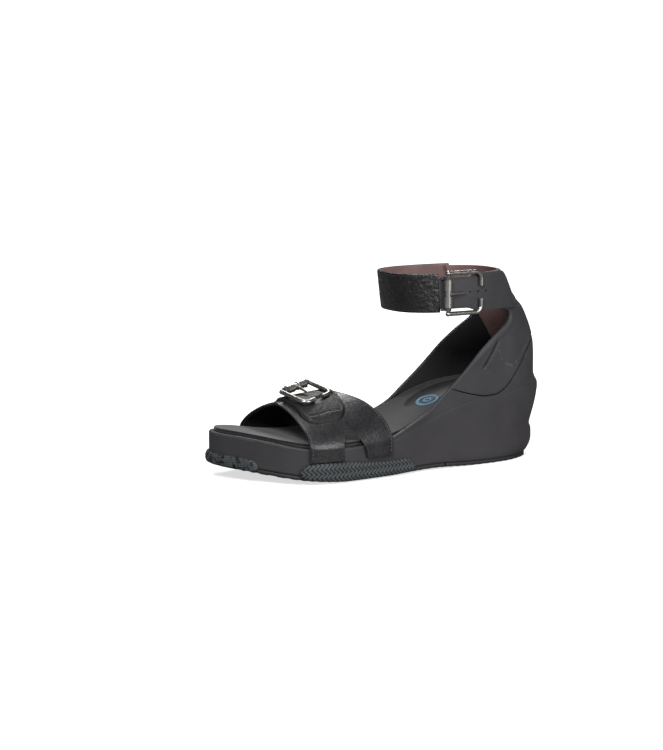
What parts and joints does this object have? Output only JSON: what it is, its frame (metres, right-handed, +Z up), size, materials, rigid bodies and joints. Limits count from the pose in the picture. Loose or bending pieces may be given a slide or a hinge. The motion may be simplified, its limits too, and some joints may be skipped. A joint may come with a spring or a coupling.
{
  "type": "wedge sandal",
  "caption": "Open-toe wedge sandal for a left foot, with a buckled instep band, a swinging ankle strap and a ribbed rubber tread.",
  "frame": {"origin": "on the ground under the middle of the heel seat, at the centre of the heel tread", "axes": "+Z up, toes point to -Y, +X is the outer side of the left foot"},
  "size_m": [0.0919, 0.2672, 0.1462],
  "materials": {
    "moulded_sole": "moulded polyurethane wedge, satin charcoal",
    "rubber_tread": "black rubber, matt",
    "rubber_guard": "grey-black rubber, ribbed",
    "fibre_board": "pressed fibre board",
    "steel_plate": "spring steel strip",
    "foam": "soft foam",
    "footbed_leather": "suede-finish leather",
    "smooth_leather": "smooth charcoal leather, satin",
    "crinkle_leather": "crinkled black leather, glossy",
    "dark_lining": "black textile lining",
    "brown_lining": "brown leather lining",
    "hook_tape": "hook and loop tape",
    "nickel": "antique nickel, polished"
  },
  "bodies": {
    "shoe": {"wedge_midsole": "moulded_sole", "heel_outsole": "rubber_tread", "forefoot_outsole": "rubber_tread", "side_guard_lateral": "rubber_guard", "side_guard_medial": "rubber_guard", "toe_guard": "rubber_guard", "insole_board": "fibre_board", "shank": "steel_plate", "footbed_cushion": "foam", "footbed_cover": "footbed_leather", "quarter_lower": "smooth_leather", "quarter_lateral": "smooth_leather", "quarter_medial": "crinkle_leather", "lining_lateral": "dark_lining", "lining_medial": "dark_lining", "lining_heel": "brown_lining", "heel_counter": "fibre_board", "collar": "smooth_leather", "collar_lining": "brown_lining", "collar_patch": "smooth_leather", "loop_patch": "hook_tape", "vamp_lateral": "smooth_leather", "vamp_medial": "crinkle_leather", "vamp_lining": "dark_lining", "vamp_tab": "crinkle_leather", "vamp_tab_backing": "crinkle_leather", "vamp_chape": "smooth_leather"},
    "ankle_strap_band": {"ankle_strap": "crinkle_leather", "ankle_strap_lining": "brown_lining"},
    "billet_end": {"billet": "smooth_leather", "billet_lining": "brown_lining", "hook_patch": "hook_tape", "ankle_chape": "smooth_leather"},
    "ankle_frame": {"ankle_buckle_frame": "nickel"},
    "ankle_prong": {"ankle_buckle_prong": "nickel"},
    "ankle_roller": {"ankle_buckle_roller": "nickel"},
    "vamp_frame": {"vamp_buckle_frame": "nickel"},
    "vamp_prong": {"vamp_buckle_prong": "nickel"},
    "vamp_roller": {"vamp_buckle_roller": "nickel"}
  },
  "joints": [
    {"name": "ankle_strap_swing", "type": "hinge", "parent": "shoe", "child": "ankle_strap_band", "pos_m": [-0.03058, -0.01468, 0.1296], "axis": [0, 0, -1], "range_deg": [0, 42]},
    {"name": "billet_peel", "type": "hinge", "parent": "ankle_strap_band", "child": "billet_end", "pos_m": [0.03197, -0.06371, 0.1296], "axis": [0, 0, -1], "range_deg": [0, 58.8]},
    {"name": "ankle_buckle_tilt", "type": "hinge", "parent": "billet_end", "child": "ankle_frame", "pos_m": [0.03592, -0.0586, 0.1296], "axis": [0, 0, -1], "range_deg": [0, 70]},
    {"name": "ankle_prong_lift", "type": "hinge", "parent": "ankle_frame", "child": "ankle_prong", "pos_m": [0.03592, -0.0586, 0.1296], "axis": [0, 0, -1], "range_deg": [0, 75]},
    {"name": "ankle_roller_spin", "type": "hinge", "parent": "ankle_frame", "child": "ankle_roller", "pos_m": [0.03592, -0.0586, 0.1296], "axis": [0, 0, 1], "continuous": true},
    {"name": "vamp_buckle_tilt", "type": "hinge", "parent": "shoe", "child": "vamp_frame", "pos_m": [-0.008, -0.1605, 0.0631], "axis": [0.3219, -0.9335, -0.1577], "range_deg": [0, 60]},
    {"name": "vamp_prong_lift", "type": "hinge", "parent": "vamp_frame", "child": "vamp_prong", "pos_m": [-0.008, -0.1605, 0.0631], "axis": [0.3219, -0.9335, -0.1577], "range_deg": [0, 70]},
    {"name": "vamp_roller_spin", "type": "hinge", "parent": "vamp_frame", "child": "vamp_roller", "pos_m": [-0.008, -0.1605, 0.0631], "axis": [0.3219, -0.9335, -0.1577], "continuous": true}
  ],
  "couplings": [
    {"joint": "billet_peel", "follows": "ankle_strap_swing", "ratio": 1.4}
  ]
}
